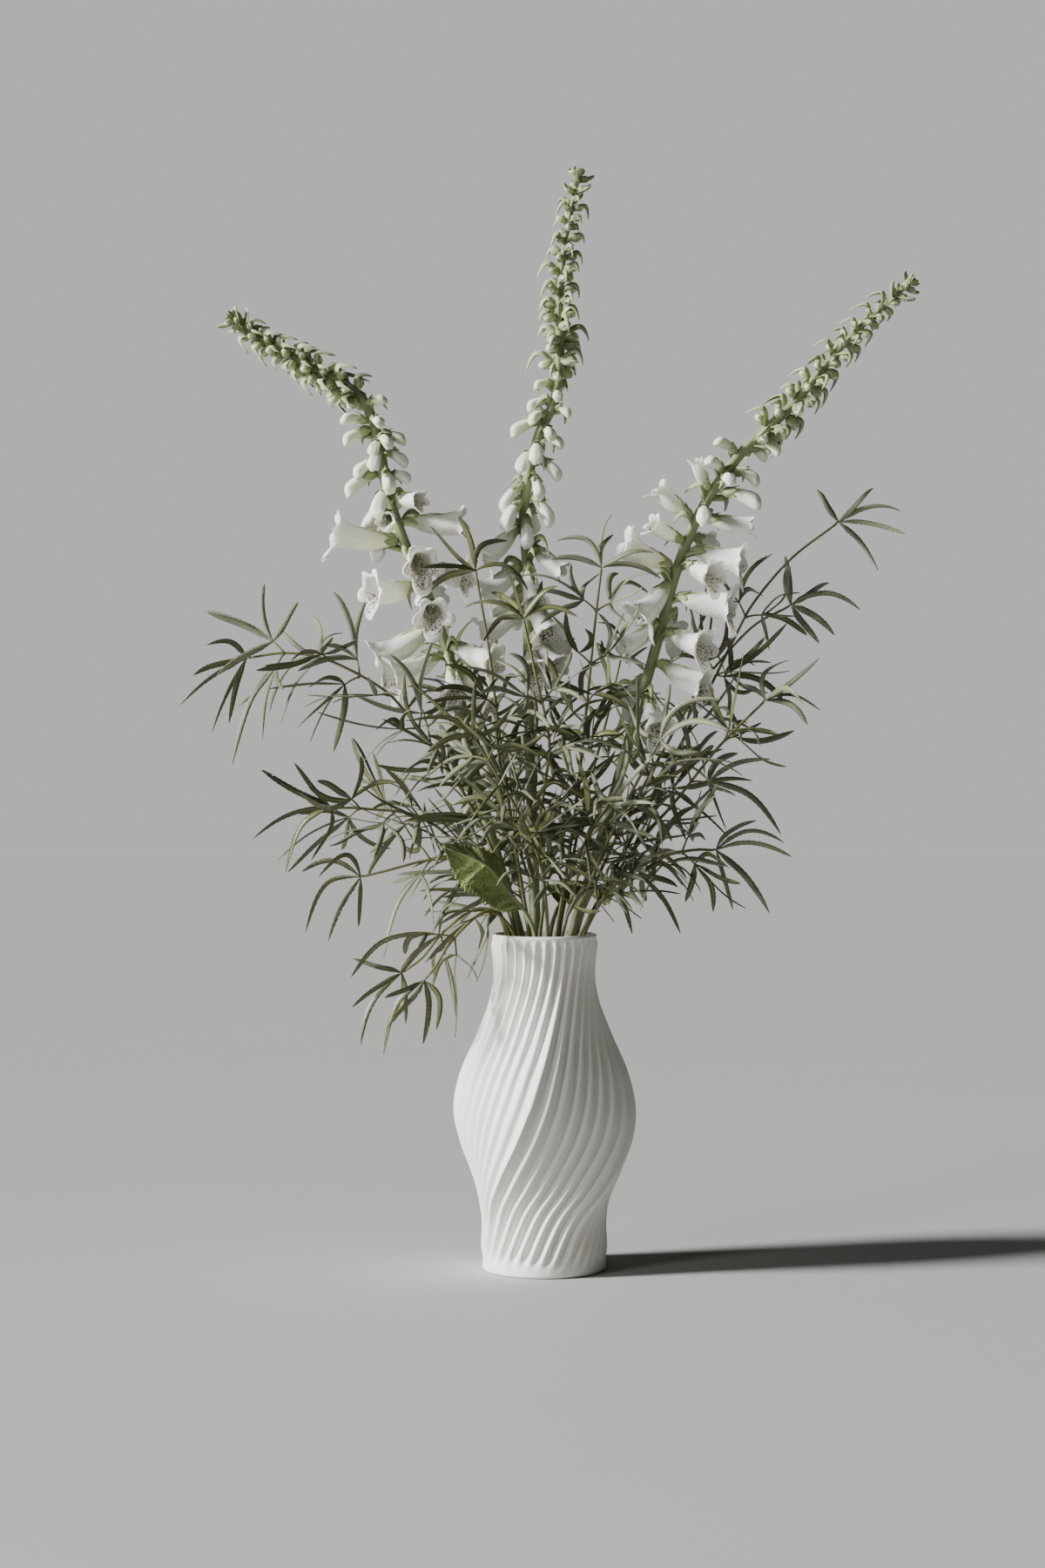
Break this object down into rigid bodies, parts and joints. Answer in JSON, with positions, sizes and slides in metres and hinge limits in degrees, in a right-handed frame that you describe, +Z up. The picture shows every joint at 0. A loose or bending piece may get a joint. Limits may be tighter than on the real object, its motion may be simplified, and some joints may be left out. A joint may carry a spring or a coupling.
{
  "type": "vase of foxglove",
  "caption": "Twisted, fluted white porcelain vase holding water, tall stems of white foxglove and a spreading bunch of narrow-leaved evergreen sprigs.",
  "frame": {"origin": "centre of the vase's flat foot, on the surface that it stands on", "axes": "+Z up along the vase's axis, the front towards -Y, +X to the right as seen from the front"},
  "size_m": [0.6484, 0.3544, 0.9813],
  "materials": {
    "porcelain": "matte",
    "water": "gloss",
    "foxglove": "matte",
    "broad_leaf": "satin",
    "sprig": "satin"
  },
  "bodies": {
    "root": {"vase": "porcelain", "water": "water", "foxglove_left": "foxglove", "foxglove_centre": "foxglove", "foxglove_right": "foxglove", "broad_leaf_front": "broad_leaf", "broad_leaf_back": "broad_leaf", "sprig_left_high": "sprig", "sprig_left_middle": "sprig", "sprig_left_low": "sprig", "sprig_rim_left": "sprig", "sprig_rim_front": "sprig", "sprig_centre_left": "sprig", "sprig_centre_front": "sprig", "sprig_centre_right": "sprig", "sprig_right_high": "sprig", "sprig_right_second": "sprig", "sprig_right_middle": "sprig", "sprig_right_low": "sprig", "sprig_right_droop": "sprig", "sprig_back_left": "sprig", "sprig_back_right": "sprig", "sprig_back_low": "sprig", "sprig_front_left": "sprig", "sprig_front_right": "sprig"}
  },
  "joints": []
}
